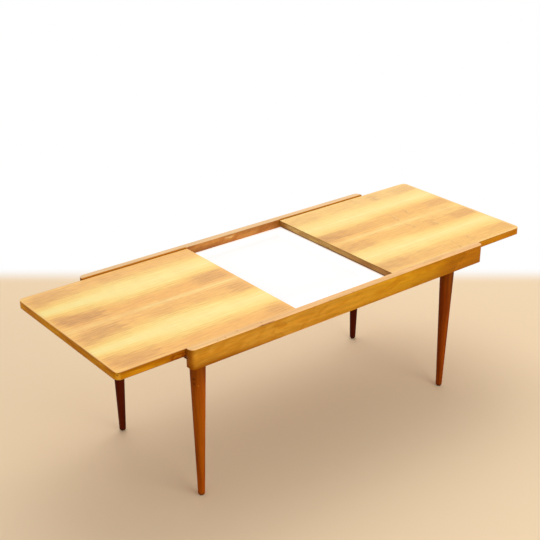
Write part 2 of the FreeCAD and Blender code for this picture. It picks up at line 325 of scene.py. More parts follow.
world = bpy.data.worlds.new("white surroundings")
world.use_nodes = True
bpy.context.scene.world = world
background = world.node_tree.nodes["Background"].inputs
feed(background["Color"], (1, 1, 1, 1))
feed(background["Strength"], pick(watched(world.node_tree), soft_light, 1.0))
print("light from all round", soft_light)

# %% Lamps
table_middle = Vector((0, 0, 0.3))


def soft_box(name, place, width, power):
    """A square lamp that faces the table's middle."""
    bpy.ops.object.light_add(type="AREA", location=place)
    lamp = bpy.context.active_object
    lamp.name = name
    lamp.rotation_euler = (table_middle - Vector(place)).to_track_quat("-Z", "Y").to_euler()
    lamp.data.size = width
    lamp.data.energy = power


soft_box("overhead light", (0.9, 1.3, 3.0), width=2.6, power=43)
soft_box("front light", (0.4, -3.4, 1.5), width=2.4, power=42)

# %% [markdown]
# ## Finishes
# Each wood has three layers: the broad figure that is seen from a few steps away, fine streaks along
# the grain, and pores that are only seen close by. All three read the place on the piece in metres, so
# the grain has its real size and runs on over edges, as in solid wood.
#
# The rails are golden solid wood. Near each end the figure draws an arrow head that points left. A
# fade along the rail could only make upright bands, so the fade goes by how far a point lies behind
# two slanting lines. The edges are darker towards the left, with painted shade under the top edge.
# The tops are painted paler as sheen, palest at the left end, and the ends get painted shade over
# their darker end grain. The inner faces are painted brown as shade above the panel, with a pale
# patch and a few pale spots, and golden as painted light beside the leaves.

# %% Rails: marks and measures
rail_low, rail_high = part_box("front_rail")
leaf_low, leaf_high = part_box("right_leaf_top_veneer")
leaf_gap = leaf_low.x
figure_slant = 0.30
fleck_slant = -0.16
left_tip = -0.262
right_tip = 0.404
arrow_line = (0.006, 0.001)
rail_bruises = [(-0.410, -0.2635, 0.482), (-0.434, -0.2655, 0.482), (-0.367, -0.2540, 0.482),
                (-0.2925, -0.2550, 0.482), (-0.300, -0.2695, 0.4815), (-0.278, -0.2695, 0.4815),
                (-0.076, -0.2695, 0.4815), (0.004, -0.2695, 0.4815)]
rail_pale_spots = [(-0.018, 0.248, 0.4716), (-0.0145, 0.248, 0.4714), (-0.011, 0.248, 0.4712)]
print(len(rail_bruises), "bruises and", len(rail_pale_spots), "scrapes on the rails")

# %% Rails: golden solid wood, bleached on top
def arrow(axis, figure, tip_height, slope):
    """How far along the rail a point lies behind the sides of an arrow head that points left."""
    off_centre = magnitude(calculate("SUBTRACT", axis[2], tip_height))
    behind = calculate("MULTIPLY_ADD", off_centre, -slope, axis[0])
    return calculate("ADD", behind, spread(figure, 0.3, 0.7, -0.022, 0.022))


def rail_side(place, axis, figure, mottle):
    """The outer faces: redder to the right, with both arrow heads, flecks, a darker lower edge and
    painted shade under the top edge.
    """
    side = shade_card(mottle, (0.34, 195, 128, 31), (0.44, 201, 135, 34), (0.52, 207, 143, 42),
                      (0.60, 211, 149, 48), (0.68, 206, 142, 40), (0.80, 196, 129, 32))
    side = blend(fade(axis[0], -0.20, 0.25), side, stain(side, paint(255, 255, 150)))
    side = blend(fade(axis[0], 0.20, 0.43), side, stain(side, paint(220, 198, 70)))

    behind = arrow(axis, figure, 0.451, 1.9)
    outline = product(line_at(behind, left_tip, *arrow_line, 0.22), fade(axis[0], -0.180, -0.215))
    side = blend(outline, side, paint(150, 84, 0))
    inside = product(fade(behind, left_tip, left_tip + 0.022, 0.40), fade(axis[0], -0.170, -0.215))
    side = blend(inside, side, paint(218, 158, 50))

    behind = arrow(axis, figure, 0.437, 0.75)
    ringed = product(fade(behind, 0.300, 0.385, 0.45), fade(behind, 0.424, 0.402),
                     spread(axis[2], 0.464, 0.478, 1.0, 0.45))
    side = blend(ringed, side, paint(160, 94, 0))
    side = blend(fade(behind, right_tip, 0.426, 0.6), side, paint(184, 110, 8))
    side = blend(line_at(behind, right_tip, *arrow_line, 0.28), side, paint(138, 74, 0))
    glint = product(fade(behind, right_tip, 0.410), fade(behind, 0.424, 0.412, 0.30))
    side = blend(glint, side, paint(216, 134, 26))

    flecks = cloud(tilted(place, fleck_slant), (20, 60, 210), 4, 0.65, 0.4)
    side = stain(side, spread(flecks, 0.34, 0.66, 0.94, 1.05))
    low_edge = product(fade(axis[2], rail_low.z + 0.020, rail_low.z),
                       calculate("MAXIMUM", spread(axis[0], -0.20, -0.42, 0.16, 1.0),
                                 fade(axis[0], -0.08, 0.10, 0.42)))
    side = blend(low_edge, side, paint(150, 84, 0))
    # Painted shade under the top edge, at the left and at the right end.
    shade_under_top = product(fade(axis[2], 0.469, 0.479, 0.34),
                        calculate("MAXIMUM", spread(axis[0], 0.05, -0.20, 0.15, 1.0),
                                  fade(axis[0], 0.43, 0.46, 0.6)))
    return blend(shade_under_top, side, paint(150, 92, 14))


def rail_inside_shade_and_light(place, axis, mottle, beside_leaf):
    """The inner faces: painted browner as shade, with a pale patch and spots above the panel, and golden
    as painted light beside the leaves.
    """
    # The inner faces are the same golden wood: their browner shades and darker patches are painted
    # shade.
    inner = shade_card(mottle, (0.38, 178, 106, 48), (0.50, 197, 126, 60), (0.62, 208, 140, 70))
    low_left = product(fade(axis[2], 0.476, 0.459, 0.8), fade(axis[0], 0.02, -0.10))
    inner = blend(low_left, inner, paint(146, 86, 38))
    high_right = product(fade(axis[2], 0.462, 0.474, 0.55), fade(axis[0], -0.01, 0.04))
    inner = blend(high_right, inner, paint(168, 100, 44))
    inner = blend(fade(axis[0], 0.130, 0.160, 0.6), inner, paint(150, 78, 8))
    rough_patch = cloud(place, (90, 1, 420))
    pale_patch = product(between(axis[0], -0.038, -0.004, 0.004), between(axis[2], 0.471, 0.477, 0.0015),
                      spread(rough_patch, 0.40, 0.60, 0.15, 0.75))
    inner = blend(pale_patch, inner, paint(228, 180, 118))
    inner = touch(place, inner, paint(232, 194, 108), rail_pale_spots, 0.5, reach=0.003)
    # Painted light on the strip of inner face that shows above each leaf.
    painted_light_beside_leaf = blend(on_right(axis), paint(190, 112, 0), paint(192, 120, 6))
    return blend(beside_leaf, inner, painted_light_beside_leaf)


def rail_top_sheen(axis, mottle, beside_leaf):
    """The tops: a paler painted sheen, palest at the left end, with a golden painted line on the back
    one's inner rim.
    """
    # Painted sheen: the tops are paler than the sides, palest at the left end, and the back top has its
    # own tone.
    top = shade_card(mottle, (0.36, 238, 184, 118), (0.52, 245, 192, 131), (0.70, 240, 186, 122))
    top = blend(fade(axis[0], -0.28, -0.44, 0.8), top, paint(252, 202, 136))
    top = blend(at_back(axis, 0.0, 0.8), top, paint(235, 196, 146))
    # A golden line along the back rail's inner rim, beside the leaves: painted light and shade for the
    # lit inner face and the gap.
    rim_place = calculate("SUBTRACT", axis[1], on_right(axis, 0.0014, 0.0))
    rim = product(fade(rim_place, 0.2514, 0.2498, 0.9), beside_leaf, fade(axis[1], 0.20, 0.22))
    return blend(rim, top, paint(194, 118, 8))


def rail_finish():
    """Outer faces, inner faces with painted shade and light, end grain with painted shade, tops with a
    painted sheen, then streaks, bruises and a knocked edge.
    """
    material, place = new_finish("rail wood")
    axis = split(place)
    facing = split(surface_normal(place))
    streaks = cloud(place, (5, 110, 110), 4, distortion=0.3)
    pores = cloud(place, (70, 1500, 1500), 2)
    figure = cloud(tilted(place, figure_slant), (8, 22, 28), 4, distortion=2.0)
    curl = cloud(place, (34, 20, 20), 2, distortion=0.8)
    mottle = calculate("MULTIPLY_ADD", curl, 0.16, product(figure, 0.86))
    beside_leaf = fade(magnitude(axis[0]), leaf_gap - 0.004, leaf_gap + 0.004)

    colour = rail_side(place, axis, figure, mottle)
    # Painted shade and painted light on the inner faces.
    inward = fade(product(axis[1], facing[1]), -0.10, -0.22)
    colour = blend(inward, colour, rail_inside_shade_and_light(place, axis, mottle, beside_leaf))
    # The ends are darker: darker end grain, and painted shade on the end faces.
    endwise = fade(magnitude(facing[0]), 0.25, 0.95, 0.85)
    colour = blend(endwise, colour, paint(150, 80, 2))
    # Painted sheen on the tops.
    sheen_on_top = fade(facing[2], 0.35, 0.9)
    colour = blend(sheen_on_top, colour, rail_top_sheen(axis, mottle, beside_leaf))

    lined = product(spread(streaks, 0.38, 0.62, 0.91, 1.07), spread(pores, 0.30, 0.50, 0.95, 1.01))
    colour = stain(colour, lined)
    colour = touch(place, colour, paint(160, 96, 52), rail_bruises, 0.34)
    knocked = product(fade(axis[0], -0.322, -0.304), fade(axis[0], -0.254, -0.268),
                      fade(axis[1], -0.2655, -0.2685), fade(axis[2], 0.4795, 0.4812),
                      spread(curl, 0.35, 0.60, 0.35, 0.75))
    colour = blend(knocked, colour, paint(150, 86, 46))
    surface(material, colour, spread(streaks, 0.3, 0.7, 0.34, 0.44), pores, 0.00006, shine=0.04)
    return material


rail_wood = rail_finish()
print("made", rail_wood.name, "with", len(rail_wood.node_tree.nodes), "nodes")

# %% [markdown]
# The leaves are covered with four sheets of veneer, cut one after another from the same block and
# opened like a book, so each is the mirror image of its neighbour. A texture that simply repeats would
# give itself away. Folding the place on the leaf about each joint instead, so that it counts up to
# the joint and back down again, mirrors the stripes, the streaks and even the pores, just as the real
# sheets are mirrored. When the leaves are closed the grain runs on from one to the other, so each
# leaf's pattern starts from its own inner end.
#
# Real stripes are not ruled. Towards the table's ends they draw in, the outer sheets' stripes drift
# sideways, and over a part of the leaf the pale ones are broader. Their dark middles are brown only
# in patches, and each sheet has its own. The outer rims are paler, worn and with a painted highlight,
# down to a dark arris line that is partly painted shade.

# %% Leaves: where a point lies in its sheet
sheet_width = 0.128
half_joint = 0.001
rim_fade = (0.011, 0.002)
least_brown = 0.04


def outer_sheet(axis):
    """Nought on the two inner sheets, one on the two outer ones."""
    return fade(magnitude(axis[1]), sheet_width - half_joint, sheet_width + half_joint)


def by_sheet(axis, weights):
    """Picks a weight for the outer back, inner back, inner front or outer front sheet."""
    outer_back, inner_back, inner_front, outer_front = weights
    rear = fade(axis[1], -half_joint, half_joint)
    return pick(outer_sheet(axis), pick(rear, inner_front, inner_back),
                pick(rear, outer_front, outer_back))


def lay_sheets(place, shift, bend, narrowing, drift):
    """The place folded at the joints, and how far it is from dark (0) to pale (1) wood there."""
    closed = add_node("Mapping", {"Vector": place, "Location": (shift, 0, 0)}).outputs[0]
    axis = split(closed)
    folded = calculate("PINGPONG", magnitude(axis[1]), sheet_width)
    sheet = add_node("CombineXYZ", {0: axis[0], 1: folded, 2: 0.0}).outputs[0]
    fibres = cloud(sheet, (3.2, 230.0, 1.0), 4, 0.7)
    wander = spread(cloud(sheet, (2.6, 4.0, 1.0), 2), 0.25, 0.75, -0.008, 0.008)
    ragged = spread(fibres, 0.32, 0.68, -0.010, 0.010)

    opened = product(opposite(calculate("DIVIDE", folded, sheet_width)), bend)
    pale_edge = product(fade(folded, 0.064, 0.092), fade(folded, 0.128, 0.100, narrowing))
    drawn_in = product(product(axis[0], axis[0]), calculate("ADD", opened, pale_edge))
    drawn = calculate("SUBTRACT", folded, drawn_in)
    drawn = calculate("ADD", drawn, calculate("ADD", wander, ragged))
    drawn = calculate("MULTIPLY_ADD", outer_sheet(axis), spread(magnitude(axis[0]), *drift), drawn)
    return axis, sheet, folded, calculate("DIVIDE", drawn, sheet_width)


print("four sheets,", sheet_width, "m wide where they are whole")

# %% Leaves: book-matched veneer
def rim_wear_highlight_and_arris_shade(place, arris_width):
    """How near a point is to the outer edges, worn paler and painted with a highlight, and to the arris,
    whose dark line is partly painted shade.
    """
    axis = split(place)
    to_end = calculate("SUBTRACT", leaf_high.x, magnitude(axis[0]))
    to_side = calculate("SUBTRACT", leaf_high.y, magnitude(axis[1]))
    nearest = calculate("MINIMUM", to_end, to_side)
    return fade(nearest, *rim_fade), fade(nearest, arris_width, 0.4 * arris_width)


def heart_wood(place, axis, sheet, stripe, patches):
    """How brown the dark stripes' middles are, from patches with a weight for each sheet."""
    fray = spread(cloud(sheet, (9, 330, 1)), 0.36, 0.64, -0.012, 0.012)
    along = calculate("ADD", axis[0], fray)
    brown = least_brown
    for start, end, soft, weights in patches:
        shown = product(between(along, start, end, soft), by_sheet(axis, weights))
        brown = calculate("MAXIMUM", brown, shown)
    threads = cloud(sheet, (22, 300, 1), 4, 0.65)
    uneven = cloud(place, (11, 26, 1), distortion=0.6)
    return product(brown, spread(threads, 0.38, 0.62, 0.66, 1.34),
                   spread(uneven, 0.34, 0.62, 0.84, 1.14),
                   fade(stripe, 0.08, 0.22), fade(stripe, 0.62, 0.50))


def cross_marks(colour, place, axis, folded, marks):
    """Short pale lines with a dark side, which run across the sheets."""
    broken = cloud(place, (60, 90, 1), 2)
    for start, low, high, slope in marks:
        slant = product(calculate("SUBTRACT", folded, low), slope)
        away = calculate("SUBTRACT", calculate("SUBTRACT", axis[0], start), slant)
        away = calculate("ADD", away, spread(broken, 0.2, 0.8, -0.004, 0.004))
        within = product(between(folded, low, high, 0.006), fade(broken, 0.42, 0.58))
        dark = product(line_at(away, -0.006, 0.007, 0.001, 0.28), within)
        colour = blend(dark, colour, paint(176, 120, 72))
        pale = product(line_at(away, 0.0, 0.004, 0.001, 0.32), within)
        colour = blend(pale, colour, paint(255, 226, 160))
    return colour


def veneer_finish(name, shift, bend, narrowing, drift, tones, broad, sheet_glow, joint_glow,
                  heart_patches, arris_width, arris_strengths, rim_tone, marks=()):
    """Bands, glowing sheets and joints, brown hearts, streaks and pores, then worn rims with a painted
    highlight and arris shade.
    """
    material, place = new_finish(name)
    axis, sheet, folded, stripe = lay_sheets(place, shift, bend, narrowing, drift)
    across = magnitude(axis[1])
    colour = shade_card(calculate("ADD", stripe, between(axis[0], *broad, 0.08, 0.065)), *tones)
    colour = blend(by_sheet(axis, sheet_glow), colour, paint(255, 226, 146))
    glow_start, glow_end, glow_strength = joint_glow
    glow = product(fade(across, 0.016, 0.0, glow_strength), between(axis[0], glow_start, glow_end, 0.06))
    colour = blend(glow, colour, paint(255, 222, 142))
    rim, arris = rim_wear_highlight_and_arris_shade(place, arris_width)
    heart = product(heart_wood(place, axis, sheet, stripe, heart_patches), opposite(rim))
    colour = blend(heart, colour, paint(204, 147, 90))

    streaks = cloud(sheet, (16, 250, 1), 5, 0.7)
    pores = cloud(sheet, (48, 1300, 1), 2)
    ripple = cloud(place, (34, 7, 1), 2, distortion=0.6)
    shadow = shade_card(stripe, (0.45, 242, 233, 234), (0.80, 254, 246, 236))
    colour = blend(fade(streaks, 0.60, 0.40, 1.05), colour, stain(colour, shadow))
    lined = product(spread(pores, 0.28, 0.46, 0.965, 1.01), spread(ripple, 0.35, 0.65, 0.985, 1.015))
    colour = stain(colour, lined)

    # Painted highlight on the outer rims, which are also worn paler.
    colour = blend(product(rim, 0.45), colour, rim_tone)
    colour = cross_marks(colour, place, axis, folded, marks)
    joint = product(fade(across, 0.0026, 0.0005, 0.45),
                    spread(axis[0], glow_start - 0.04, glow_start + 0.14, 0.05, 1.0))
    colour = blend(joint, colour, paint(255, 226, 150))
    outer_joint = line_at(across, sheet_width, 0.0020, 0.0004, 0.5)
    colour = blend(outer_joint, colour, paint(255, 240, 172))
    # A dark line along the arris, partly painted shade.
    colour = blend(product(arris, at_back(axis, *arris_strengths)), colour, paint(168, 98, 14))
    surface(material, colour, spread(streaks, 0.3, 0.7, 0.33, 0.42), pores, 0.00005, shine=0.14)
    return material


left_tones = [(0.00, 255, 205, 122), (0.06, 255, 201, 115), (0.12, 255, 196, 109),
              (0.22, 255, 194, 106), (0.46, 255, 193, 104), (0.54, 255, 198, 106),
              (0.61, 255, 206, 114), (0.70, 255, 217, 124), (0.82, 255, 227, 141),
              (1.00, 255, 233, 152)]
right_tones = [(0.00, 255, 208, 122), (0.06, 255, 204, 116), (0.12, 252, 198, 111),
               (0.22, 251, 195, 108), (0.46, 252, 196, 108), (0.54, 254, 201, 112),
               (0.61, 254, 207, 118), (0.70, 255, 215, 127), (0.82, 255, 221, 138),
               (1.00, 255, 229, 152)]
left_veneer = veneer_finish(
    "left leaf veneer", shift=leaf_gap, bend=0.040, narrowing=0.060,
    drift=(0.06, 0.18, 0.013, 0.0), tones=left_tones, broad=(-0.37, -0.10),
    sheet_glow=(0.17, 0.03, 0.13, 0.03), joint_glow=(-0.32, 0.10, 0.55),
    heart_patches=[(-0.522, -0.394, 0.010, (0.36, 0.55, 0.44, 0.44)),
                   (-0.394, -0.300, 0.030, (0.12, 0.12, 0.04, 0.06)),
                   (-0.310, -0.290, 0.008, (0.26, 0.08, 0.06, 0.06)),
                   (-0.286, -0.246, 0.012, (0.22, 0.12, 0.16, 0.04)),
                   (-0.186, -0.150, 0.020, (0.06, 0.12, 0.18, 0.08)),
                   (-0.112, -0.014, 0.014, (0.08, 0.46, 0.10, 0.12)),
                   (-0.068, -0.012, 0.012, (0.08, 0.46, 0.40, 0.34))],
    arris_width=0.0028, arris_strengths=(0.80, 0.40), rim_tone=paint(255, 202, 122),
)
right_veneer = veneer_finish(
    "right leaf veneer", shift=-leaf_gap, bend=0.085, narrowing=0.020,
    drift=(0.06, 0.38, -0.008, 0.011), tones=right_tones, broad=(-0.20, 0.24),
    sheet_glow=(0.38, 0.0, 0.06, 0.12), joint_glow=(0.02, 0.34, 0.50),
    heart_patches=[(-0.020, 0.104, 0.020, (0.12, 0.54, 0.30, 0.36)),
                   (0.104, 0.216, 0.030, (0.00, 0.26, 0.04, 0.18)),
                   (0.216, 0.350, 0.020, (0.04, 0.10, 0.02, 0.06)),
                   (0.340, 0.368, 0.010, (0.38, 0.16, 0.34, 0.18)),
                   (0.440, 0.540, 0.024, (0.30, 0.30, 0.40, 0.18))],
    arris_width=0.0016, arris_strengths=(0.10, 0.15), rim_tone=paint(255, 218, 148),
    marks=[(0.290, 0.014, 0.030, 0.30), (0.294, 0.036, 0.064, 0.22), (0.361, 0.050, 0.078, 0.25)],
)
print("made", left_veneer.name, "and", right_veneer.name)

# %% [markdown]
# The bands are strips of plainer wood. The outer ones carry painted shadow where the left leaf goes in
# between the rails, and are nicked at its front corner. The inner ones are darker towards the front,
# with painted shadow of the back rail at the far end and painted shade towards the foot.

# %% Leaves: edge bands
foot_shade_fade = (0.4645, 0.4602)


def band_finish(name, shades, top_line, top_band, right_tone=None, front_tone=None, rail_shadow_tone=None,
                foot_shade_tone=None, rail_end_shadows=(), nicks=()):
    """Streaked wood with a lighter or darker line along its top.

    The right tone and the painted rail-end shadows are for the outer bands, the other tones for the
    inner ones."""
    material, place = new_finish(name)
    axis = split(place)
    figure = cloud(place, (11, 9, 60), 4, distortion=1.2)
    streaks = cloud(place, (14, 14, 420))
    clots = spread(cloud(place, (60, 60, 110)), 0.42, 0.58, 0.62, 1.0)
    pale, mid, deep = shades
    colour = shade_card(figure, (0.34, *deep), (0.48, *mid), (0.62, *pale))
    if right_tone:
        colour = blend(on_right(axis, 0.0, 0.55), colour, right_tone)
    # Painted shadow, mottled, cast by the rail's end onto the left leaf's outer band.
    for start, end, weight in rail_end_shadows:
        shown = product(fade(axis[0], start - 0.02, start + 0.01),
                        fade(axis[0], end + 0.01, end - 0.01, weight), clots)
        colour = blend(shown, colour, paint(120, 26, 0))
    upper = fade(axis[2], leaf_high.z - top_band - 0.003, leaf_high.z - top_band, 0.75)
    if right_tone:
        facing = split(surface_normal(place))
        endwise, sideways = magnitude(facing[0]), magnitude(facing[1])
        colour = blend(product(upper, on_right(axis, 0.0, 0.5)), colour, paint(208, 146, 42))
        colour = blend(fade(axis[0], 0.60, 0.64, 0.35), colour, paint(170, 92, 0))
        # Painted highlight on the band's rounded corners.
        corner_highlight = product(fade(endwise, 0.15, 0.45), fade(sideways, 0.35, 0.70, 0.7))
        colour = blend(corner_highlight, colour, paint(232, 168, 54))
        plainer = calculate("MAXIMUM", fade(endwise, 0.3, 0.9, 0.7), on_right(axis, 0.0, 0.8))
        upper = product(upper, opposite(plainer), opposite(corner_highlight))
    colour = blend(upper, colour, top_line)
    if front_tone:
        # Darker towards the front; painted shadow of the back rail at the far end; painted shade at the
        # foot.
        colour = blend(fade(axis[1], 0.05, -0.16, 0.75), colour, front_tone)
        colour = blend(fade(axis[1], 0.190, 0.228, 0.8), colour, rail_shadow_tone)
        colour = blend(fade(axis[2], *foot_shade_fade, 0.9), colour, foot_shade_tone)
    colour = touch(place, colour, paint(104, 56, 0), nicks, 0.6)
    colour = stain(colour, spread(streaks, 0.38, 0.62, 0.90, 1.06))
    surface(material, colour, spread(figure, 0.3, 0.7, 0.36, 0.46), streaks, 0.00004, shine=0.03)
    return material


edge_veneer = band_finish(
    "leaf edge", ((218, 150, 24), (204, 131, 10), (184, 110, 0)), paint(164, 92, 2),
    top_band=0.0055, right_tone=paint(184, 110, 2),
    rail_end_shadows=[(-0.606, -0.566, 0.26), (-0.558, -0.500, 0.86), (-0.516, -0.500, 0.9)],
    nicks=[(-0.7016, -0.2413, 0.4720), (-0.6983, -0.2439, 0.4780)],
)
inner_edge_veneer = band_finish(
    "leaf inner edge", ((210, 166, 96), (194, 148, 80), (172, 120, 62)), paint(170, 122, 64),
    top_band=0.0016, front_tone=paint(164, 110, 60), rail_shadow_tone=paint(150, 92, 30),
    foot_shade_tone=paint(80, 50, 20), nicks=[(leaf_gap, 0.022, 0.465)],
)
print("made", edge_veneer.name, "and", inner_edge_veneer.name)

# %% Legs: reddish-brown turned wood
leg_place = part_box("front_right_leg")
leg_distance = (leg_place[0].x + leg_place[1].x) / 2
away_from_camera = (0.62, 0.78, 0.0)
to_camera_right = (0.75, -0.66, 0.0)
leg_dark_spots = [(-0.4671, -0.2048, 0.3589), (-0.4667, -0.2048, 0.3453)]
leg_pale_spots = [(-0.4590, -0.2134, 0.3407)]


def leg_finish():
    """Warm brown at the front left, redder at the right, painted shade on the back legs but for their
    far sides.
    """
    material, place = new_finish("leg wood")
    axis = split(place)
    normal = surface_normal(place)
    figure = cloud(place, (26, 26, 3), 4, distortion=0.8)
    streaks = cloud(place, (190, 190, 6), 4)
    pores = cloud(place, (1400, 1400, 60), 2)
    warm = shade_card(figure, (0.36, 138, 58, 0), (0.50, 164, 78, 0), (0.64, 180, 92, 2))
    red = shade_card(figure, (0.36, 125, 50, 0), (0.50, 154, 69, 0), (0.64, 168, 83, 0))
    # The back legs are the same wood: their dark cards are painted shade, and their far sides keep the
    # red wood.
    dark = shade_card(figure, (0.36, 66, 12, 0), (0.50, 84, 22, 0), (0.66, 104, 34, 0))
    darkest = shade_card(figure, (0.36, 46, 4, 0), (0.50, 58, 8, 0), (0.66, 74, 18, 0))
    front = blend(on_right(axis), warm, red)
    low_down = product(fade(axis[2], 0.13, 0.03), on_right(axis, 0.38, 0.08))
    front = blend(low_down, front, paint(206, 98, 0))
    back = blend(on_right(axis), dark, darkest)
    far_side = measure("DOT_PRODUCT", normal, away_from_camera)
    back = blend(fade(far_side, 0.12, 0.65, 0.85), back, red)
    colour = blend(at_back(axis), front, back)

    # Painted shade down the left side of each leg.
    leg_middle_x = product(calculate("SIGN", axis[0]), leg_distance)
    left_side_shade = fade(calculate("SUBTRACT", axis[0], leg_middle_x), 0.002, -0.012)
    colour = blend(product(left_side_shade, on_right(axis, 0.30, 0.50)), colour, paint(86, 18, 0))
    # Painted shadow under the rail at the top of the legs.
    colour = blend(fade(axis[2], 0.330, 0.390, 0.35), colour, paint(112, 60, 0))
    right_side = measure("DOT_PRODUCT", normal, to_camera_right)
    edge_shade = product(fade(right_side, 0.25, 0.90, 0.75), fade(axis[2], 0.23, 0.31), on_right(axis))
    colour = blend(edge_shade, colour, paint(92, 44, 0))
    colour = touch(place, colour, paint(66, 8, 0), leg_dark_spots, 0.55, reach=0.006)
    colour = touch(place, colour, paint(230, 150, 50), leg_pale_spots, 0.5, reach=0.0024)
    lined = product(spread(streaks, 0.38, 0.62, 0.86, 1.08), spread(pores, 0.28, 0.46, 0.93, 1.0))
    colour = stain(colour, lined)
    # Painted shade at the rounded foot.
    colour = blend(fade(axis[2], 0.012, 0.003, 0.6), colour, paint(52, 20, 4))
    surface(material, colour, spread(streaks, 0.3, 0.7, 0.44, 0.56), pores, 0.00006, shine=0.05)
    return material


leg_wood = leg_finish()
print("made", leg_wood.name)

# %% [markdown]
# ## Plain finishes of the hidden work
# The underside is seen when the table is turned over: raw planed wood for the rails that carry the
# legs, waxed runners, a brown fibreboard, the white laminate on it, felt strips and zinc-plated
# steel. None is one flat colour, because raw wood has grain, board has fibres and plating is cloudy.
# The panel is so bright in the photograph that its edges show no shading at all, so they glow a
# little. Its ends are painted dark as shade where they come out under the leaves, and the fibreboard's
# edges there are darker, partly as painted shade.

# %% Raw woods and board
def raw_wood(name, pale, mid, deep, figure_stretch, streak_stretch, rough=0.62, edge_tone=None,
             shine=0.3):
    """Figure and streaks, and another tone on the upright faces if one is given."""
    material, place = new_finish(name)
    figure = cloud(place, figure_stretch, distortion=0.8)
    streaks = cloud(place, streak_stretch)
    colour = shade_card(figure, (0.30, *deep), (0.50, *mid), (0.70, *pale))
    if edge_tone:
        edgewise = fade(magnitude(split(surface_normal(place))[2]), 0.7, 0.3)
        colour = blend(edgewise, colour, edge_tone)
    colour = stain(colour, spread(streaks, 0.34, 0.66, 0.88, 1.05))
    surface(material, colour, spread(streaks, 0.3, 0.7, rough - 0.06, rough + 0.06), streaks, 0.0001,
            shine=shine)
    return material


bearer_wood = raw_wood("bearer wood", (214, 176, 130), (198, 156, 108), (172, 128, 84),
                       (14, 3, 18), (160, 7, 160))
runner_wood = raw_wood("runner wood", (210, 170, 122), (192, 150, 100), (164, 120, 76),
                       (3, 18, 22), (7, 200, 200), rough=0.5)
dowel_wood = raw_wood("dowel wood", (224, 190, 146), (206, 168, 122), (182, 142, 98),
                      (60, 6, 60), (500, 12, 500))
core_board = raw_wood("leaf core", (214, 180, 138), (196, 158, 114), (160, 118, 78),
                      (90, 90, 90), (420, 420, 420))
under_veneer = raw_wood("under veneer", (196, 150, 98), (176, 128, 78), (148, 102, 60),
                        (3, 14, 14), (7, 240, 240), rough=0.55)
# The fibreboard's upright edges are a darker brown, partly painted shade.
fibreboard = raw_wood("brown fibreboard", (142, 100, 62), (122, 84, 50), (100, 66, 38),
                      (55, 55, 55), (700, 700, 700), rough=0.8,
                      edge_tone=paint(78, 22, 0), shine=0.03)
print("raw woods and board:", bearer_wood.name, "to", fibreboard.name)

# %% Laminate, felt, steel and glides
painted_shade_ends = (0.5085, 0.5095)
glow_ends = (0.508, 0.506)


def laminate_finish():
    """White, with painted shade on its ends under the leaves and a weak glow along the edges between
    them.
    """
    material, place = new_finish("white laminate")
    axis = split(place)
    from_middle = magnitude(axis[0])
    haze = cloud(place, (5, 5, 5), 2)
    colour = shade_card(haze, (0.25, 253, 253, 252), (0.75, 255, 255, 254))
    # Painted shade on the panel's ends, which show only in the gap under the leaves.
    colour = blend(fade(from_middle, *painted_shade_ends), colour, paint(70, 24, 0))
    glow = calculate("MAXIMUM", fade(axis[1], 0.195, 0.247, 0.42),
                     fade(axis[0], leaf_gap - 0.050, leaf_gap - 0.005, 0.50))
    glow = calculate("MAXIMUM", glow, fade(axis[1], -0.140, -0.210, 0.12))
    surface(material, colour, spread(haze, 0.3, 0.7, 0.28, 0.34), shine=0.3,
            Emission_Strength=product(glow, fade(from_middle, *glow_ends)))
    return material


def felt_finish():
    """Fine grey fibres."""
    material, place = new_finish("slide felt")
    fibre = cloud(place, (900, 900, 900), 4, distortion=1.5)
    colour = shade_card(fibre, (0.30, 118, 112, 102), (0.70, 168, 162, 150))
    surface(material, colour, 0.95, fibre, 0.0003, shine=0.1, Sheen_Weight=0.3)
    return material


def plated_steel_finish():
    """Cloudy, faintly brushed plating."""
    material, place = new_finish("zinc-plated steel")
    bloom = cloud(place, (120, 120, 120), 4)
    brushed = cloud(place, (90, 1600, 90), 2)
    colour = shade_card(bloom, (0.30, 170, 171, 174), (0.70, 208, 208, 206))
    surface(material, colour, spread(bloom, 0.3, 0.7, 0.28, 0.45), brushed, 0.00002, Metallic=1.0)
    return material


def glide_finish():
    """Dark moulded plastic, a little scuffed."""
    material, place = new_finish("dark glide")
    scuff = cloud(place, (300, 300, 300), 4)
    colour = shade_card(scuff, (0.35, 38, 30, 26), (0.75, 74, 62, 54))
    surface(material, colour, spread(scuff, 0.3, 0.7, 0.4, 0.65), scuff, 0.00008)
    return material


white_laminate = laminate_finish()
slide_felt = felt_finish()
plated_steel = plated_steel_finish()
dark_glide = glide_finish()
print("finishes so far:", len(bpy.data.materials))

# %% Give each frame node its finish
node_finishes = {
    "rail_wood": rail_wood, "bearer_wood": bearer_wood, "board": fibreboard,
    "white_laminate": white_laminate, "dowel_wood": dowel_wood, "slide_felt": slide_felt,
    "leg_wood": leg_wood, "glide": dark_glide, "under_veneer": under_veneer,
    "leaf_edge": edge_veneer, "leaf_inner_edge": inner_edge_veneer, "leaf_core": core_board,
    "runner_wood": runner_wood, "steel": plated_steel, "leaf_veneer": right_veneer,
}
for part in frame["record"]["subparts"]:
    dress(nodes[part["node"]], node_finishes[part["material_slot"]])
dress(nodes["left_leaf_top_veneer"], left_veneer)

# %% [markdown]
# ## Small tools for modelling
# Each new piece starts as a block of its real size, and is then worked like the real one: corners
# rounded, edges eased, grooves cut. In Blender an operator works on what is selected, so one helper
# adds the block alone, and another picks the edges to work on by where they are.

# %% Helpers: blocks, picking and edges
nearly = 1e-5
smooth_below = math.radians(35)


def alone(piece):
    """Makes a piece the only thing selected, and the one that is worked on."""
    bpy.ops.object.select_all(action="DESELECT")
    piece.select_set(True)
    bpy.context.view_layer.objects.active = piece


def settle():
    """Writes the selected piece's place, turn and scale into its mesh."""
    bpy.ops.object.transform_apply(location=True, rotation=True, scale=True)


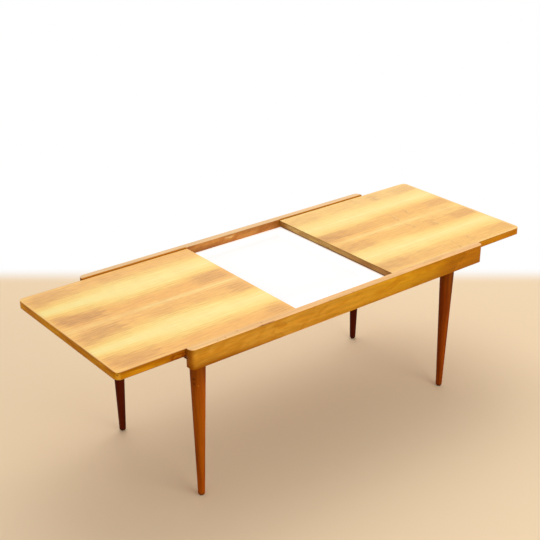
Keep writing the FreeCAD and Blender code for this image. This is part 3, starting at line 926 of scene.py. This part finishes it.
def start_block(name, low, high):
    """A block between two corners. What is added is the only thing selected."""
    low, high = Vector(low), Vector(high)
    bpy.ops.mesh.primitive_cube_add(size=1, location=(low + high) / 2)
    block = bpy.context.active_object
    block.name = name
    block.scale = high - low
    settle()
    return block


def pick_edges(piece, wanted):
    """Selects the edges that pass a test, and leaves the piece in edit mode."""
    alone(piece)
    bpy.ops.object.mode_set(mode="EDIT")
    bpy.ops.mesh.select_mode(type="EDGE")
    bpy.ops.mesh.select_all(action="DESELECT")
    mesh = bmesh.from_edit_mesh(piece.data)
    picked = [edge for edge in mesh.edges if wanted(edge)]
    for edge in picked:
        edge.select_set(True)
    bmesh.update_edit_mesh(piece.data)
    return len(picked)


def ease(piece, wanted, width, segments):
    """Rounds the wanted edges over."""
    count = pick_edges(piece, wanted)
    bpy.ops.mesh.bevel(offset=width, segments=segments, clamp_overlap=True)
    bpy.ops.object.mode_set(mode="OBJECT")
    return count


# Three tests for picking edges: by place, by direction and by the angle between an edge's faces.
def lies_at(edge, axis, value):
    return all(abs(vertex.co[axis] - value) < nearly for vertex in edge.verts)


def runs_along(edge, axis):
    start, end = (vertex.co for vertex in edge.verts)
    return abs(abs(end[axis] - start[axis]) - edge.calc_length()) < nearly


def is_sharp(edge, degrees=40):
    return len(edge.link_faces) == 2 and edge.calc_face_angle(0) > math.radians(degrees)


# %% Helpers: cutting, finishing and copying
def combine(piece, tool, operation):
    """Cuts a piece with a tool, or keeps what the two share, and takes the tool away."""
    cut = piece.modifiers.new("cut", "BOOLEAN")
    cut.operation = operation
    cut.solver = "EXACT"
    cut.object = tool
    bpy.context.view_layer.objects.active = piece
    bpy.ops.object.modifier_apply(modifier=cut.name)
    bpy.data.objects.remove(tool)


def finish_piece(piece, body, slot, material, *stands_for):
    """Smooths a piece, lets it ride on its body and hides the nodes that it stands for."""
    alone(piece)
    bpy.ops.object.shade_smooth_by_angle(angle=smooth_below)
    dress(piece, material)
    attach(piece, body)
    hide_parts(*stands_for)
    print(piece.name, "has", len(piece.data.polygons), "faces")


def copy_of(piece, name, move=(0, 0, 0), flip=(1, 1, 1)):
    """A copy with its own mesh, moved or mirrored, and turned the right way out."""
    alone(piece)
    bpy.ops.object.duplicate()
    twin = bpy.context.active_object
    twin.name = name
    twin.location = move
    twin.scale = flip
    settle()
    if math.prod(flip) < 0:
        bpy.ops.object.mode_set(mode="EDIT")
        bpy.ops.mesh.select_all(action="SELECT")
        bpy.ops.mesh.normals_make_consistent()
        bpy.ops.object.mode_set(mode="OBJECT")
    return twin


# %% [markdown]
# ## Long rails
# Each rail is sawn to two outlines: seen from above its outer end corners are round, and seen from
# the front its lower corners are. Bevelling both on one block makes the two roundings fight where
# they meet. Keeping only what two shaped blocks share does what the saw does. The panel's groove
# is then cut with a bar, and the sharp edges are eased.

# %% Front rail: two outlines and a groove
rail_end_radius = 0.015
rail_lower_radius = 0.005
groove_depth = 0.006
groove_margin = 0.0002
spare = 0.02
groove_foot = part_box("board")[0].z - groove_margin
groove_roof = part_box("white_laminate")[1].z + groove_margin
sideways = Vector((0, spare, 0))

rail_front = start_block("rail_front", rail_low, rail_high)
upright = ease(rail_front, lambda edge: lies_at(edge, 1, rail_low.y) and runs_along(edge, 2),
               rail_end_radius, 10)
side_outline = start_block("side outline", rail_low - sideways, rail_high + sideways)
lower = ease(side_outline, lambda edge: lies_at(edge, 2, rail_low.z) and runs_along(edge, 1),
             rail_lower_radius, 6)
combine(rail_front, side_outline, "INTERSECT")
groove_bar = start_block("groove bar", (rail_low.x - spare, rail_high.y - groove_depth, groove_foot),
                         (rail_high.x + spare, rail_high.y + spare, groove_roof))
combine(rail_front, groove_bar, "DIFFERENCE")
print("rounded", upright, "upright and", lower, "lower corners")

# %% Front rail: eased edges and small bruises
rail_easing = 0.0012
groove_easing = 0.0003
bruise_size = (0.0022, 0.0009, 0.0004)

ease(rail_front, lambda edge: lies_at(edge, 2, rail_high.z) and is_sharp(edge), rail_easing, 4)
ease(rail_front, lambda edge: is_sharp(edge, 60), groove_easing, 2)
for number, bruise in enumerate(rail_bruises):
    bpy.ops.mesh.primitive_ico_sphere_add(subdivisions=2, radius=1, location=bruise,
                                          rotation=(0, 0, 0.5 * number))
    knock = bpy.context.active_object
    knock.scale = bruise_size
    settle()
    combine(rail_front, knock, "DIFFERENCE")
rail_back = copy_of(rail_front, "rail_back", flip=(1, -1, 1))
finish_piece(rail_front, "frame", "rail_wood", rail_wood, "front_rail")
finish_piece(rail_back, "frame", "rail_wood", rail_wood, "back_rail")

# %% [markdown]
# ## Leaves
# A leaf is a core board with veneer on both faces and a thin band of wood glued round its edge. Only
# the top veneer and the bands are seen. A real veneered edge is sanded with a block until it no longer
# feels sharp, about half a millimetre, so the veneer gets a small round edge and the bands a smaller
# one. The band round three sides is a slab with a smaller slab taken out of it.

# %% Leaf shapes
leaf_corner_radius = 0.016
veneer_easing = 0.0005
band_easing = 0.0002


def leaf_outline(name, side, low, high, inset=0.0):
    """A slab with the leaf's two round outer corners, drawn in from its outer edges."""
    low, high = low + Vector((0, inset, 0)), high - Vector((0, inset, 0))
    outer = high if side == "right" else low
    outer.x -= sides[side] * inset
    slab = start_block(name, low, high)
    ease(slab, lambda edge: lies_at(edge, 0, outer.x) and runs_along(edge, 2),
         leaf_corner_radius - inset, 12)
    return slab


def make_leaf(side, veneer):
    """The veneered face, the band round three sides and the band on the inner end."""
    body = side + "_leaf"
    low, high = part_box(body + "_top_veneer")
    face = leaf_outline("leaf_" + side + "_face", side, low, high)
    ease(face, lambda edge: lies_at(edge, 2, high.z) and is_sharp(edge), veneer_easing, 4)
    finish_piece(face, body, "leaf_veneer", veneer, body + "_top_veneer")

    low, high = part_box(body + "_edge_band")
    inner_low, inner_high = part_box(body + "_inner_band")
    band = leaf_outline("leaf_" + side + "_edge", side, low, high)
    hollow_low, hollow_high = low - Vector((0, 0, spare)), high + Vector((0, 0, spare))
    open_end = hollow_low if side == "right" else hollow_high
    open_end.x -= sides[side] * spare
    hollow = leaf_outline("hollow", side, hollow_low, hollow_high, high.y - inner_high.y)
    combine(band, hollow, "DIFFERENCE")
    ease(band, lambda edge: is_sharp(edge, 60), band_easing, 1)
    finish_piece(band, body, "leaf_edge", edge_veneer, body + "_edge_band")

    inner = start_block("leaf_" + side + "_inner_edge", inner_low, inner_high)
    ease(inner, is_sharp, band_easing, 2)
    finish_piece(inner, body, "leaf_inner_edge", inner_edge_veneer, body + "_inner_band")


make_leaf("left", left_veneer)
make_leaf("right", right_veneer)

# %% [markdown]
# ## Legs and glides
# A leg is turned on a lathe: one straight taper, a rounded foot, and under it a small dark glide that
# is nailed on. A cone with a different radius at each end is already the taper, and only its two rims
# need shaping, so it is quicker than spinning a drawn profile. One leg is modelled, and the other
# three are copies.

# %% One leg and its glide
leg_foot_rounding = 0.004
leg_top_easing = 0.0005
leg_foot_diameter = 0.0185
glide_rounding = 0.001
glide_top_easing = 0.0002
leg_low, leg_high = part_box("front_left_leg")
glide_low, glide_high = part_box("front_left_foot_glide")
glide_high.z = leg_low.z


def turned(name, low, high, low_radius, high_radius, foot_rounding, top_easing, around):
    """A cone between two heights with its lower and upper rims rounded."""
    bpy.ops.mesh.primitive_cone_add(vertices=around, radius1=low_radius, radius2=high_radius,
                                    depth=high.z - low.z, location=(low + high) / 2)
    piece = bpy.context.active_object
    piece.name = name
    settle()
    ease(piece, lambda edge: lies_at(edge, 2, low.z), foot_rounding, 8)
    ease(piece, lambda edge: lies_at(edge, 2, high.z), top_easing, 2)
    return piece


leg_top_radius = (leg_high.x - leg_low.x) / 2
glide_radius = (glide_high.x - glide_low.x) / 2
first_leg = turned("leg_front_left", leg_low, leg_high, leg_foot_diameter / 2, leg_top_radius,
                   leg_foot_rounding, leg_top_easing, around=72)
first_glide = turned("glide_front_left", glide_low, glide_high, glide_radius, glide_radius,
                     glide_rounding, glide_top_easing, around=48)
legs = {"front_left": first_leg}
glides = {"front_left": first_glide}
print("turned", first_leg.name, "and", first_glide.name)

# %% The other three legs and glides
for corner in [row + "_" + side for row in rows for side in sides]:
    if corner not in legs:
        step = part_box(corner + "_leg")[0] - leg_low
        legs[corner] = copy_of(first_leg, "leg_" + corner, move=step)
        glides[corner] = copy_of(first_glide, "glide_" + corner, move=step)
for corner, leg in legs.items():
    finish_piece(leg, "frame", "leg_wood", leg_wood, corner + "_leg")
    finish_piece(glides[corner], "frame", "glide", dark_glide, corner + "_foot_glide")
